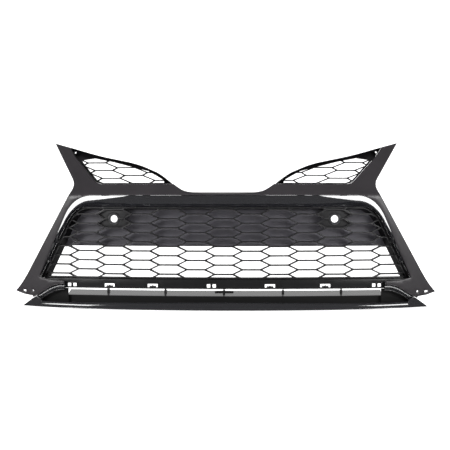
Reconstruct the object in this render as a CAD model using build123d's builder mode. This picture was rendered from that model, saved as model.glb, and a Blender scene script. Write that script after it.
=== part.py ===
from build123d import *
import os
from math import cos, radians, sin, sqrt

os.makedirs("parts", exist_ok=True)

# Front grille of a car: a one-piece surround frame with two swept-back horns, a gloss bezel,
# a hexagon mesh with a blanking panel behind its upper half, two small upper meshes, a lower
# rail, a tray and a gloss lip, with the screws, clips and brackets that hold them together.
# Millimetres. +X is to the right seen from the front, the front faces -Y, +Z is up, and the
# origin is on the centre line at the lowest edge of the lip, halfway through the depth.
# "Depth" is the distance behind the styled front surface, which is bent round a vertical
# axis and leans back above the main opening.

# ---- styled front surface ----
PLAN_RADIUS = 1700.0
FRONT_Y = -99.07
AXIS_Y = FRONT_Y + PLAN_RADIUS
RAKE_START_Z = 305.0
RAKE_SLOPE = 0.78
SWEEP_ANGLE = 25.0
SURFACE_LOW, SURFACE_HIGH = -10.0, 470.0
LOW_END, HIGH_END = -20.0, 480.0
HALF_SPAN = 600.0
OVERRUN = 4.0

# ---- common sections and fits ----
SKIN = 3.0
WALL = 2.5
FIT = 0.3
CREASE_GAP = 0.6
FRAME_DEPTH = 18.0
TAB_FRONT = FRAME_DEPTH + FIT
TAB_BACK = TAB_FRONT + WALL
RIB = 3.2

# ---- main opening: crease (front) and inner edge (rear) of the bezel ----
CREASE_TOP_Z = 304.3
LEG_SLANT = 1.12
BEZEL_REACH, TUB_REACH = 108.0, 145.0
EDGE_TOP_Z = 274.5
BEZEL_DEPTH = 25.0
LEG_FOOT_Z = 82.0
BEZEL_LOW_Z = 86.0

# ---- mesh ----
COLUMN_PITCH = 74.0
CELL_HEIGHT = 24.7
CELL_FLAT = 48.0
RIB_FRONT, RIB_BACK = 27.0, 47.0
TUB_FRONT, TUB_BACK = 25.8, 60.0
EVEN_RIB_Z = 143.5
MESH_LOW_Z = 82.0
PANEL_LOW_Z = 168.5
PANEL_HIGH_Z = 281.0
SENSOR_X, SENSOR_Z = 295.5, 242.0
SENSOR_BORE_R = 9.8
SLEEVE_R = 12.5
PAD_FRONT = 36.0

# ---- lower rail, tray and lip ----
RAIL_LOW_Z, RAIL_HIGH_Z = 56.0, 81.6
RAIL_FRONT, RAIL_BACK = 20.3, 50.0
RAIL_HALF = 493.0
SLOT_Z = 64.5
WIDE_SLOTS = (-306.0, -189.0, 123.0, 270.0)
TWIN_SLOTS = (-410.0, -32.0, 408.0)
TRAY_HALF = 424.0
WEB_X = (-315.0, -158.0, 0.0, 158.0, 315.0)
LIP_FRONT, LIP_BACK = -8.0, 20.0
LIP_SCREW_X = (-410.0, -300.0, -150.0, 0.0, 150.0, 300.0, 410.0)
FLOOR_Z = 8.0

# ---- screws ----
SHANK_R = 2.0
HOLE_R = 2.2
HEAD_R = 4.2
HEAD_HEIGHT = 2.4
HEAD_ROOM = 9.6
SPOT_DEPTH = 1.0
BOSS_R = 5.0
PAD_R = 5.6

# Screw places (x, z) on the right-hand side; each has a twin on the left.
BEZEL_SITES = ((205.0, 316.0), (318.0, 316.0), (452.0, 222.0), (498.0, 132.0))
MESH_SITES = ((245.0, 316.0), (471.0, 183.0))
UPPER_SITES = ((172.0, 324.0), (280.0, 324.0), (424.0, 403.0))
RAIL_SITES = ((441.0, 70.8),)
LIP_SITES = ((503.0, 52.0),)
BRACKET_SITES = ((487.0, 150.0), (479.0, 166.0))
TOP_SITES = ((104.0, 309.5),)
PANEL_SITES = ((110.0, 278.0), (330.0, 278.0))
TOP_TAB_X = 80.0

FRONT = Plane.XZ.offset(40 - FRONT_Y)
NEAR_Y, FAR_Y = FRONT_Y - 60, FRONT_Y + 260
THROUGH = 340.0
SIDES = (-1, 1)


def surface_y(x, z, depth):
    """Y of the point at x, z that lies depth behind the styled front surface."""
    rake = max(0.0, z - RAKE_START_Z) * RAKE_SLOPE
    radius = PLAN_RADIUS - depth - rake
    return AXIS_Y - sqrt(radius * radius - x * x)


def bent(profile):
    """Bar bent round the plan curve, with its section given as (depth, height) points."""
    start = radians(-SWEEP_ANGLE)
    outward = Vector(sin(start), -cos(start), 0)
    section_plane = Plane(origin=(0, AXIS_Y, 0), x_dir=outward, z_dir=outward.cross(Vector(0, 0, 1)))
    with BuildPart() as bar:
        with BuildSketch(section_plane):
            with BuildLine():
                Polyline(*[(PLAN_RADIUS - depth, height) for depth, height in profile], close=True)
            make_face()
        revolve(axis=Axis((0, AXIS_Y, 0), (0, 0, 1)), revolution_arc=2 * SWEEP_ANGLE)
    return bar.part


def layer(front, back, low=SURFACE_LOW, high=SURFACE_HIGH):
    """Curved slab between two depths, from height low to height high."""
    if high <= RAKE_START_Z:
        return bent(((front, low), (front, high), (back, high), (back, low)))
    lean = RAKE_SLOPE * (high - RAKE_START_Z)
    return bent(((front, low), (front, RAKE_START_Z), (front + lean, high), (back + lean, high),
                 (back, RAKE_START_Z), (back, low)))


def prism(outline):
    """Solid with the given front outline, through the whole depth of the grille."""
    with BuildPart() as body:
        with BuildSketch(FRONT):
            with BuildLine():
                add(outline)
            make_face()
        extrude(amount=-THROUGH)
    return body.part


def blocks(polygons, front, back, twins=True):
    """Curved plates or pockets with the given front polygons and, if asked, their mirror twins."""
    with BuildPart() as body:
        with BuildSketch(FRONT):
            for polygon in polygons:
                with BuildLine():
                    Polyline(*polygon, close=True)
                make_face()
            if twins:
                mirror(about=Plane.YZ)
        extrude(amount=-THROUGH)
        add(layer(front, back), mode=Mode.INTERSECT)
    return body.part


def box_outline(x_low, x_high, z_low, z_high):
    """Corners of an upright rectangle in the front view."""
    return ((x_low, z_low), (x_high, z_low), (x_high, z_high), (x_low, z_high))


def upright_box(x_low, x_high, y_low, y_high, z_low, z_high):
    """Plain square-cornered block between the given limits."""
    with BuildPart() as body:
        with BuildSketch(Plane.XY.offset(z_low)):
            with Locations(((x_low + x_high) / 2, (y_low + y_high) / 2)):
                Rectangle(x_high - x_low, y_high - y_low)
        extrude(amount=z_high - z_low)
    return body.part


def one_side(part, side):
    """The half of a symmetric pair that lies on one side of the centre line."""
    low, high = (0, HALF_SPAN) if side > 0 else (-HALF_SPAN, 0)
    return part & upright_box(low, high, NEAR_Y, FAR_Y, LOW_END, HIGH_END)


def band(profile, half_width):
    """Bar bent round the plan curve, between upright ends."""
    return bent(profile) & upright_box(-half_width, half_width, NEAR_Y, FAR_Y, LOW_END, HIGH_END)


def cut_across(part, cuts):
    """Solids that a long part falls into when it is cut at the given x; they stay in contact."""
    solids = []
    for low, high in zip((-HALF_SPAN, *cuts), (*cuts, HALF_SPAN)):
        solids += (part & upright_box(low, high, NEAR_Y, FAR_Y, LOW_END, HIGH_END)).solids()
    return solids


def lattice(centres, corners, limits):
    """Rectangular plate, through the whole depth, with a hexagonal hole round each centre.
    corners are one cell's rib centre lines; the hole is smaller by half a rib all round."""
    x_low, x_high, z_low, z_high = limits
    with BuildSketch() as cell:
        with BuildLine():
            Polyline(*corners, close=True)
        make_face()
        offset(amount=-RIB / 2, kind=Kind.INTERSECTION, mode=Mode.REPLACE)
    with BuildPart() as body:
        with BuildSketch(FRONT):
            with Locations(((x_low + x_high) / 2, (z_low + z_high) / 2)):
                Rectangle(x_high - x_low, z_high - z_low)
            with Locations(*centres):
                add(cell.sketch, mode=Mode.SUBTRACT)
        extrude(amount=-THROUGH)
    return body.part


def rods(sites, radius, front, back):
    """Round bars along Y at the sites and their twins, from depth front to depth back."""
    with BuildPart() as bars:
        for x, z in sites:
            for side in SIDES:
                start = surface_y(x, z, front)
                with BuildSketch(Plane.XZ.offset(-start)):
                    with Locations((side * x, z)):
                        Circle(radius)
                extrude(amount=-(surface_y(x, z, back) - start))
    return bars.part


def screws(sites, tab_back, length):
    """Pan-head screws whose heads sit in the spot faces of tabs that end at depth tab_back."""
    with BuildPart() as group:
        for x, z in sites:
            for side in SIDES:
                seat = surface_y(x, z, tab_back) - SPOT_DEPTH
                with BuildSketch(Plane.XZ.offset(-seat)):
                    with Locations((side * x, z)):
                        Circle(HEAD_R)
                extrude(amount=-HEAD_HEIGHT)
                with BuildSketch(Plane.XZ.offset(-seat)):
                    with Locations((side * x, z)):
                        Circle(SHANK_R)
                extrude(amount=length)
    return group.part


def sensor_rings(outer, bore, front, back):
    """Rings round both sensor axes, from front to back measured along Y from the pad's middle."""
    pad_y = surface_y(SENSOR_X, SENSOR_Z, PAD_FRONT)
    with BuildPart() as rings:
        with BuildSketch(Plane.XZ.offset(-(pad_y + front))):
            with Locations((-SENSOR_X, SENSOR_Z), (SENSOR_X, SENSOR_Z)):
                Circle(outer)
                if bore:
                    Circle(bore, mode=Mode.SUBTRACT)
        extrude(amount=-(back - front))
    return rings.part


def spot_faces(sites, tab_back):
    """Cutters that give each screw head a flat seat square to Y."""
    with BuildPart() as cutters:
        for x, z in sites:
            for side in SIDES:
                seat = surface_y(x, z, tab_back) - SPOT_DEPTH
                with BuildSketch(Plane.XZ.offset(-seat)):
                    with Locations((side * x, z)):
                        Circle(HEAD_R + FIT)
                extrude(amount=-HEAD_ROOM)
    return cutters.part


# ---------------------------------------------------------------- front outlines

HORN_TIP = (473.0, 449.5)
HORN_ROOT = (430.0, 437.5)
CREASE_END = (427.0, 251.0)
GAP_TOP_Z = CREASE_TOP_Z + CREASE_GAP
GAP_END = (CREASE_END[0] + CREASE_GAP, CREASE_END[1])
GAP_FOOT = (501.3 + CREASE_GAP, LEG_FOOT_Z)


# Silhouette of the surround down to its lower corners, with the crease of the opening inside.
with BuildLine() as frame_line:
    Spline((0, 310), (61, 311), (91, 314), (107, 318), (121, 326), (134, 335), tangents=((1, 0), (1, 0.8)))
    Line((134, 335), (330, 335))
    Spline((330, 335), (346, 342), (380, 378), (407, 406.5), (419, 422), HORN_ROOT,
           tangents=((1, 0.1), (1, 1.5)))
    Line(HORN_ROOT, HORN_TIP)
    Line(HORN_TIP, (411, 350))
    Bezier((411, 350), (404, 338), (404, 329), (411, 316))
    Line((411, 316), (529, 102))
    Bezier((529, 102), (543, 77), (556, 58), (568.5, 46.5))
    Line((568.5, 46.5), (544, 38))
    Line((544, 38), (520, 34))
    Line((520, 34), (517, 29.6))
    Spline((517, 29.6), (496, 41.2), (473, 56.2), (458, 62.6), (444, 65.9), (430, 66.8))
    Line((430, 66.8), (430, 75))
    Bezier((430, 75), (470, 76.5), (499, 78), GAP_FOOT)
    Line(GAP_FOOT, GAP_END)
    Bezier(GAP_END, (414 + CREASE_GAP, 279 + CREASE_GAP), (392, GAP_TOP_Z), (352, GAP_TOP_Z))
    Line((352, GAP_TOP_Z), (0, GAP_TOP_Z))
    mirror(about=Plane.YZ)

# Right upper mesh: fills the window between the horn and the upper bar with a gap all round.
with BuildLine() as wing_line:
    Line((138, 335.4), (329, 335.4))
    Spline((329, 335.4), (345.2, 342.5), (379.3, 378.6), (406.3, 407.1), (418.3, 422.6), (429, 437.8),
           tangents=((1, 0.1), (1, 1.5)))
    Spline((429, 437.8), (340, 412.5), (243, 391), (195, 373), (174, 363), (150, 346),
           (138, 336.4))
    Line((138, 336.4), (138, 335.4))

# The lip: a blade with a raised wing at each end.
with BuildLine() as lip_line:
    Spline((0, 21.5), (356, 18.5), (492, 21))
    Line((492, 21), (494, 26))
    Spline((494, 26), (478, 36), (458, 46), (428, 51))
    Line((428, 51), (428, 65))
    Spline((428, 65), (444, 64.4), (458, 61.2), (473, 54.8), (496, 39.8), (509, 32.4), (517, 28.2))
    Line((517, 28.2), (546.5, 6.5))
    Spline((546.5, 6.5), (412, 3), (274, 0.8), (0, 0), tangents=((-1, 0), (-1, 0)))
    mirror(about=Plane.YZ)


def tunnel(front_half, front_depth, rear_half, rear_depth, reach):
    """Tapering solid through two closed outlines, from ahead of the front back by reach. Each
    half outline is its top centre, its corner curve's four control points and its leg's foot."""
    near_y = FRONT_Y - 10.0
    with BuildPart() as body:
        for plane_y in (near_y, FRONT_Y + reach):
            points = []
            for (xf, zf), (xr, zr) in zip(front_half, rear_half):
                yf = surface_y(xf, min(zf, RAKE_START_Z), front_depth)
                yr = surface_y(xr, zr, rear_depth)
                share = (plane_y - yf) / (yr - yf)
                points.append((xf + share * (xr - xf), zf + share * (zr - zf)))
            with BuildSketch(Plane.XZ.offset(-plane_y)):
                with BuildLine():
                    Bezier(points[0], (points[1][0] / 2, points[0][1]), points[1])
                    Bezier(*points[1:5])
                    Line(points[4], points[5])
                    Line(points[5], (0, points[5][1]))
                    mirror(about=Plane.YZ)
                make_face()
        loft(ruled=True)
    return body.part


# Bezel and mesh tub: the top centre, the corner curve's four control points and the foot.
CREASE = ((0, CREASE_TOP_Z), (352, CREASE_TOP_Z), (392, CREASE_TOP_Z), (414, 279), CREASE_END, (515.5, 50))
EDGE = ((0, EDGE_TOP_Z), (366, EDGE_TOP_Z), (398, EDGE_TOP_Z), (416, 252), (429, 225), (517, 50))
TUB_REAR = ((0, 267), (350, 267), (380, 267), (396, 249), (408, 225), (493.4, 50))


def shrunk(half, amount):
    """The same half outline moved inwards, towards the middle of the opening."""
    shifts = ((0, 1), (0, 1), (1, 1), (1, 1), (1, 1), (1, 0))
    return tuple((x - amount * LEG_SLANT * across, z - amount * down)
                 for (x, z), (across, down) in zip(half, shifts))


bezel_outer = tunnel(CREASE, 0, shrunk(EDGE, -WALL), BEZEL_DEPTH, BEZEL_REACH)
bezel_inner = tunnel(shrunk(CREASE, WALL), 0, EDGE, BEZEL_DEPTH, BEZEL_REACH)
tub_outer = tunnel(EDGE, TUB_FRONT, TUB_REAR, TUB_BACK, TUB_REACH)
tub_inner = tunnel(shrunk(EDGE, WALL), TUB_FRONT, shrunk(TUB_REAR, WALL), TUB_BACK, TUB_REACH)


# ---------------------------------------------------------------- surround frame

# Pockets moulded into the back, with ribs left between them, on the right-hand side.
FRAME_POCKETS = (
    ((120, 307.8), (350, 307.8), (350, 332), (137, 332), (124, 323)),
    ((354, 307.6), (354, 342), (384, 375.5), (411, 406), (423, 422), (434, 437.5), (461, 444.5), (407, 350),
     (401.5, 338), (401.5, 328.5), (408, 314), (414, 302), (404, 294), (386, 302.5), (370, 306.5)),
    ((410.5, 284), (425, 284), (451.5, 236.5), (437, 236.5), (431, 250), (420.5, 271)),
    ((439, 233), (453.5, 233), (489.5, 167), (467.5, 167)),
    ((469, 164), (491, 164), (526, 101), (496.8, 101)),
    ((498.5, 97.5), (528, 97.5), (540, 75.5), (547, 65), (512, 62), (502, 66), (502, 73), (505, 81)),
    ((436, 69.6), (436, 72.4), (486, 74), (493, 60), (483, 53.6), (473, 60), (458, 66.3)),
)
NOTCH = ((538, 50), (548.5, 49), (548.5, 44.5), (538, 42))
CORNER_HOLE = (519.0, 47.0)
CORNER_HOLE_R = 3.2

all_sites = BEZEL_SITES + UPPER_SITES + RAIL_SITES + LIP_SITES + BRACKET_SITES + MESH_SITES + TOP_SITES
frame_body = prism(frame_line.line) & layer(0, FRAME_DEPTH)
with BuildPart() as surround_frame:
    add(frame_body)
    add(blocks(FRAME_POCKETS, SKIN, FRAME_DEPTH + OVERRUN), mode=Mode.SUBTRACT)
    add(rods(all_sites, BOSS_R, SKIN - 1, FRAME_DEPTH))
    add(frame_body, mode=Mode.INTERSECT)
    add(rods(all_sites, PAD_R + FIT, FRAME_DEPTH, FRAME_DEPTH + HEAD_ROOM), mode=Mode.SUBTRACT)
    add(rods(all_sites, HOLE_R, SKIN + 2, FRAME_DEPTH + OVERRUN), mode=Mode.SUBTRACT)
    add(blocks((NOTCH,), -OVERRUN, FRAME_DEPTH + OVERRUN), mode=Mode.SUBTRACT)
    add(rods((CORNER_HOLE,), CORNER_HOLE_R, -OVERRUN, FRAME_DEPTH + OVERRUN), mode=Mode.SUBTRACT)
surround_frame.part.label = "surround_frame"
export_step(surround_frame.part, "parts/surround_frame.step")


# ---------------------------------------------------------------- gloss bezel

BEZEL_TABS = (
    box_outline(195, 215, 276, 324),
    box_outline(308, 328, 276, 324),
    ((428, 216), (448, 214), (460, 220), (452, 234), (424, 230)),
    ((470, 126), (490, 124), (506, 130), (498, 142), (466, 138)),
)
with BuildPart() as opening_bezel:
    add(bezel_outer)
    add(layer(0, BEZEL_DEPTH, low=BEZEL_LOW_Z), mode=Mode.INTERSECT)
    add(blocks(BEZEL_TABS, TAB_FRONT, TAB_BACK))
    add(bezel_inner, mode=Mode.SUBTRACT)
    add(rods(BEZEL_SITES, PAD_R, TAB_FRONT, TAB_BACK))
    add(rods(BEZEL_SITES, HOLE_R, FRAME_DEPTH - OVERRUN, TAB_BACK + OVERRUN), mode=Mode.SUBTRACT)
    add(spot_faces(BEZEL_SITES, TAB_BACK), mode=Mode.SUBTRACT)
opening_bezel.part.label = "opening_bezel"
export_step(opening_bezel.part, "parts/opening_bezel.step")


# ---------------------------------------------------------------- main mesh

cell_corners = (
    (-CELL_FLAT / 2, CELL_HEIGHT / 2), (CELL_FLAT / 2, CELL_HEIGHT / 2),
    (COLUMN_PITCH - CELL_FLAT / 2, 0), (CELL_FLAT / 2, -CELL_HEIGHT / 2),
    (-CELL_FLAT / 2, -CELL_HEIGHT / 2), (CELL_FLAT / 2 - COLUMN_PITCH, 0),
)
cell_centres = []
for column in range(-7, 8):
    lowest = EVEN_RIB_Z - CELL_HEIGHT / 2 - (CELL_HEIGHT / 2 if column % 2 else 0)
    for row in range(-3, 8):
        cell_centres.append((column * COLUMN_PITCH, lowest + row * CELL_HEIGHT))

PAD = ((-22, CELL_HEIGHT), (22, CELL_HEIGHT), (46, CELL_HEIGHT / 2), (26, 0),
       (46, -CELL_HEIGHT / 2), (22, -CELL_HEIGHT), (-22, -CELL_HEIGHT), (-46, -CELL_HEIGHT / 2),
       (-26, 0), (-46, CELL_HEIGHT / 2))
pad_outline = [(SENSOR_X + x, SENSOR_Z + z) for x, z in PAD]
MESH_TABS = (box_outline(235, 255, 268, 324), ((442, 176), (470, 174), (478, 182), (470, 195), (438, 186)))
PANEL_FLANGE = box_outline(-372, 372, 264, 284)

mesh_field = lattice(cell_centres, cell_corners, (-520, 520, MESH_LOW_Z - 20, 300)) & tub_outer
side_walls = (tub_outer - tub_inner) & layer(TUB_FRONT, TUB_BACK, low=MESH_LOW_Z, high=300)
mesh_tabs = blocks(MESH_TABS, TUB_FRONT, TUB_FRONT + WALL) - tub_inner
panel_flange = blocks((PANEL_FLANGE,), TUB_BACK - WALL, TUB_BACK, twins=False) - tub_inner
SILL = box_outline(-500, 500, MESH_LOW_Z, MESH_LOW_Z + 2.6)
sill = blocks((SILL,), RIB_FRONT, RIB_BACK, twins=False) & tub_outer
SEAT_FRONT, SEAT_BACK = -4.0, 7.0
BORE_FRONT, BORE_BACK = -20.0, 20.0
SEAT_WALL = 3.5
ACCESS_R = SLEEVE_R + 3.8
with BuildPart() as main_mesh:
    add(mesh_field)
    add(layer(RIB_FRONT, RIB_BACK, low=MESH_LOW_Z), mode=Mode.INTERSECT)
    add(sill)
    add(side_walls)
    add(blocks((pad_outline,), PAD_FRONT, PAD_FRONT + SKIN))
    add(mesh_tabs)
    add(rods(MESH_SITES, PAD_R, TAB_FRONT, TUB_FRONT + WALL))
    add(panel_flange)
    add(sensor_rings(SLEEVE_R + SEAT_WALL, 0, SEAT_FRONT, SEAT_BACK))
    add(sensor_rings(SLEEVE_R + FIT, 0, BORE_FRONT, BORE_BACK), mode=Mode.SUBTRACT)
    add(sensor_rings(ACCESS_R, 0, BORE_FRONT, SEAT_FRONT), mode=Mode.SUBTRACT)
    add(sensor_rings(ACCESS_R, 0, SEAT_BACK, BORE_BACK), mode=Mode.SUBTRACT)
    add(rods(MESH_SITES, HOLE_R, FRAME_DEPTH, TUB_FRONT + WALL + OVERRUN), mode=Mode.SUBTRACT)
    add(spot_faces(MESH_SITES, TUB_FRONT + WALL), mode=Mode.SUBTRACT)
    add(rods(PANEL_SITES, HOLE_R, TUB_BACK - 2 * OVERRUN, TUB_BACK + OVERRUN), mode=Mode.SUBTRACT)
main_mesh.part.label = "main_mesh"
export_step(main_mesh.part, "parts/main_mesh.step")


# ---------------------------------------------------------------- blanking panel

PANEL_OUTLINE = ((-366, PANEL_HIGH_Z), (366, PANEL_HIGH_Z), (392, 267), (406, 246), (436, PANEL_LOW_Z),
                 (-436, PANEL_LOW_Z), (-406, 246), (-392, 267))
PANEL_FRONT = TUB_BACK + FIT
PANEL_BACK = PANEL_FRONT + 2.0
# square windows that clear the sensors; the sheet is made in fields either side of and between them
WINDOW_LOW_X, WINDOW_HIGH_X = SENSOR_X - 18.0, SENSOR_X + 18.0
PANEL_WINDOW = box_outline(WINDOW_LOW_X, WINDOW_HIGH_X, SENSOR_Z - 18.0, SENSOR_Z + 18.0)
with BuildPart() as panel_sheet:
    add(blocks((PANEL_OUTLINE,), PANEL_FRONT, PANEL_BACK, twins=False))
    add(blocks((PANEL_WINDOW,), PANEL_FRONT - OVERRUN, PANEL_BACK + OVERRUN), mode=Mode.SUBTRACT)
    add(rods(PANEL_SITES, HOLE_R, PANEL_FRONT - OVERRUN, PANEL_BACK + OVERRUN), mode=Mode.SUBTRACT)
    add(spot_faces(PANEL_SITES, PANEL_BACK), mode=Mode.SUBTRACT)
PANEL_CUTS = (-WINDOW_HIGH_X, -WINDOW_LOW_X, WINDOW_LOW_X, WINDOW_HIGH_X)
blanking_panel = Compound(cut_across(panel_sheet.part, PANEL_CUTS))
blanking_panel.label = "blanking_panel"
export_step(blanking_panel, "parts/blanking_panel.step")


# ---------------------------------------------------------------- upper meshes

UPPER_FRONT, UPPER_BACK = 5.0, 24.0
UPPER_STEP_OUT = (61.5, -7.6)
UPPER_STEP_UP = (22.0, 21.4)
UPPER_CELL = ((-13.1, 10.7), (35.1, 10.7), (48.4, 3.1), (13.1, -10.7), (-35.1, -10.7), (-48.4, -3.1))
UPPER_START = (338.5, 383.0)
UPPER_TABS = (box_outline(162, 182, 316, 338), box_outline(270, 290, 316, 338),
              box_outline(396, 432, 395, 411))
GUSSET_HOLE = (413.0, 423.0)

# Open area inside the rim, where the cells are.
with BuildLine() as upper_window:
    Line((156, 336.6), (328, 336.6))
    Spline((328, 336.6), (344, 344.5), (378, 380.5), (397, 402))
    Spline((397, 402), (352, 407.5), (300, 396.5), (241, 384), (205, 372), (174, 355), (156, 345))
    Line((156, 345), (156, 336.6))

upper_centres = []
for out in range(-5, 4):
    for up in range(-4, 5):
        x = UPPER_START[0] + out * UPPER_STEP_OUT[0] + up * UPPER_STEP_UP[0]
        z = UPPER_START[1] + out * UPPER_STEP_OUT[1] + up * UPPER_STEP_UP[1]
        if 110 < x < 450 and 320 < z < 430:
            upper_centres.append((x, z))
upper_voids = prism(upper_window.line) - lattice(upper_centres, UPPER_CELL, (100, 460, 300, 460))
upper_pads = one_side(rods(UPPER_SITES, PAD_R, TAB_FRONT, TAB_BACK), 1)
GUSSET_HOLE_R = 3.0

with BuildPart() as upper_mesh_right:
    add(prism(wing_line.line))
    add(layer(UPPER_FRONT, UPPER_BACK), mode=Mode.INTERSECT)
    add(upper_voids, mode=Mode.SUBTRACT)
    add(blocks(UPPER_TABS, TAB_FRONT, TAB_BACK, twins=False))
    add(upper_pads)
    add(rods(UPPER_SITES, HOLE_R, FRAME_DEPTH - OVERRUN, TAB_BACK + OVERRUN), mode=Mode.SUBTRACT)
    add(spot_faces(UPPER_SITES, TAB_BACK), mode=Mode.SUBTRACT)
    add(rods((GUSSET_HOLE,), GUSSET_HOLE_R, 0, UPPER_BACK + OVERRUN), mode=Mode.SUBTRACT)
with BuildPart() as upper_mesh_left:
    add(mirror(upper_mesh_right.part, about=Plane.YZ, mode=Mode.PRIVATE))
for name, mesh in (("upper_mesh_right", upper_mesh_right), ("upper_mesh_left", upper_mesh_left)):
    mesh.part.label = name
    export_step(mesh.part, f"parts/{name}.step")


# ---------------------------------------------------------------- lower rail

rail_wall_back = RAIL_FRONT + 2.7
slot_low, slot_high = SLOT_Z - 4.5, SLOT_Z + 4.5
slots = [
    ((x - 13.5, slot_low), (x - 3, slot_low), (x - 3, slot_low + 2), (x + 3, slot_low + 2),
     (x + 3, slot_low), (x + 13.5, slot_low), (x + 13.5, slot_high), (x - 13.5, slot_high))
    for x in WIDE_SLOTS
]
for x in TWIN_SLOTS:
    slots.append(box_outline(x - 12, x - 3, slot_low, slot_high))
    slots.append(box_outline(x + 3, x + 12, slot_low, slot_high))

SLOT_FRAME_DEPTH = 0.9
slot_frames = [box_outline(x - 18, x + 18, slot_low - 2.6, slot_high + 3.4) for x in WIDE_SLOTS + TWIN_SLOTS]
rail_box = box_outline(-RAIL_HALF, RAIL_HALF, RAIL_LOW_Z, RAIL_HIGH_Z)
channel = box_outline(-RAIL_HALF + WALL, RAIL_HALF - WALL, RAIL_LOW_Z + WALL, RAIL_HIGH_Z - WALL)
RAIL_RIB_PITCH, RAIL_RIB_CLEARANCE = 25.0, 17.0
RAIL_RIBS = 19
rail_rib_x = [i * RAIL_RIB_PITCH for i in range(-RAIL_RIBS, RAIL_RIBS + 1)
              if all(abs(i * RAIL_RIB_PITCH - x) > RAIL_RIB_CLEARANCE for x in WIDE_SLOTS + TWIN_SLOTS)]
rail_ribs = [box_outline(x - 1, x + 1, RAIL_LOW_Z + 1, RAIL_HIGH_Z - 1) for x in rail_rib_x]
with BuildPart() as lower_rail:
    add(blocks((rail_box,), RAIL_FRONT, RAIL_BACK, twins=False))
    add(blocks(slot_frames, RAIL_FRONT - SLOT_FRAME_DEPTH, RAIL_FRONT + 1, twins=False))
    add(blocks((channel,), rail_wall_back, RAIL_BACK + OVERRUN, twins=False), mode=Mode.SUBTRACT)
    add(blocks(rail_ribs, rail_wall_back - 1, RAIL_BACK - 3, twins=False))
    add(blocks(slots, RAIL_FRONT - OVERRUN, rail_wall_back + 2, twins=False), mode=Mode.SUBTRACT)
    add(rods(RAIL_SITES, HOLE_R, RAIL_FRONT - OVERRUN, rail_wall_back + OVERRUN), mode=Mode.SUBTRACT)
    add(spot_faces(RAIL_SITES, rail_wall_back), mode=Mode.SUBTRACT)
lower_rail.part.label = "lower_rail"
export_step(lower_rail.part, "parts/lower_rail.step")

clip_bodies = [box_outline(x - 9, x + 9, RAIL_LOW_Z + WALL + 0.1, slot_low + 3.5) for x in WIDE_SLOTS]
clip_tongues = [box_outline(x - 2, x + 2, slot_low + 2.2, SLOT_Z + 1) for x in WIDE_SLOTS]
with BuildPart() as slot_clips:
    add(blocks(clip_bodies, rail_wall_back + 0.2, rail_wall_back + 6, twins=False))
    add(blocks(clip_tongues, RAIL_FRONT - 0.8, rail_wall_back + 3, twins=False))
slot_clips.part.label = "slot_clips"
export_step(slot_clips.part, "parts/slot_clips.step")


# ---------------------------------------------------------------- tray and lip

SHELF_FRONT, SHELF_FRONT_Z = 29.5, 36.8
SHELF_BACK, SHELF_BACK_Z = 85.0, 47.5
TRAY_PROFILE = (
    (1, FLOOR_Z), (1, FLOOR_Z + WALL), (SHELF_FRONT, FLOOR_Z + WALL), (SHELF_FRONT, SHELF_FRONT_Z),
    (SHELF_BACK, SHELF_BACK_Z), (SHELF_BACK, SHELF_BACK_Z - WALL), (SHELF_FRONT + WALL, SHELF_FRONT_Z - 1.9),
    (SHELF_FRONT + WALL, FLOOR_Z),
)
SCREW_TOP_Z = 15.0


def on_shelf(front, back, top):
    """Profile of a rib that stands on the shelf's upper face."""
    slope = (SHELF_BACK_Z - SHELF_FRONT_Z) / (SHELF_BACK - SHELF_FRONT)
    foot = [(depth, SHELF_FRONT_Z + slope * (depth - SHELF_FRONT)) for depth in (front, back)]
    return (*foot, (back, top), (front, top))


def short_bar(profile, x_low, x_high):
    """Length of a bent bar between two upright cuts."""
    return bent(profile) & upright_box(x_low, x_high, NEAR_Y, FAR_Y, LOW_END, HIGH_END)


def upright_rods(radius, low, high):
    """Upright round bars at each lip screw place, on the line behind the blade."""
    with BuildPart() as bars:
        with BuildSketch(Plane.XY.offset(low)):
            with Locations(*[(x, surface_y(x, 0, 8.0)) for x in LIP_SCREW_X]):
                Circle(radius)
        extrude(amount=high - low)
    return bars.part


WEB_PROFILE = on_shelf(48, SHELF_BACK - 1, RAIL_LOW_Z)
STOP_PROFILE = on_shelf(SHELF_BACK - 15, SHELF_BACK - 2, 48)
with BuildPart() as tray_sheet:
    add(band(TRAY_PROFILE, TRAY_HALF))
    add(upright_rods(HOLE_R, 0, SCREW_TOP_Z + 1), mode=Mode.SUBTRACT)
tray_ribs = [short_bar(WEB_PROFILE, x - 1.4, x + 1.4) for x in WEB_X]
tray_ribs.append(short_bar(STOP_PROFILE, -25, 25))
lip_tray = Compound([solid for rib in (tray_sheet.part, *tray_ribs) for solid in rib.solids()])
lip_tray.label = "lip_tray"
export_step(lip_tray, "parts/lip_tray.step")

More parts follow.
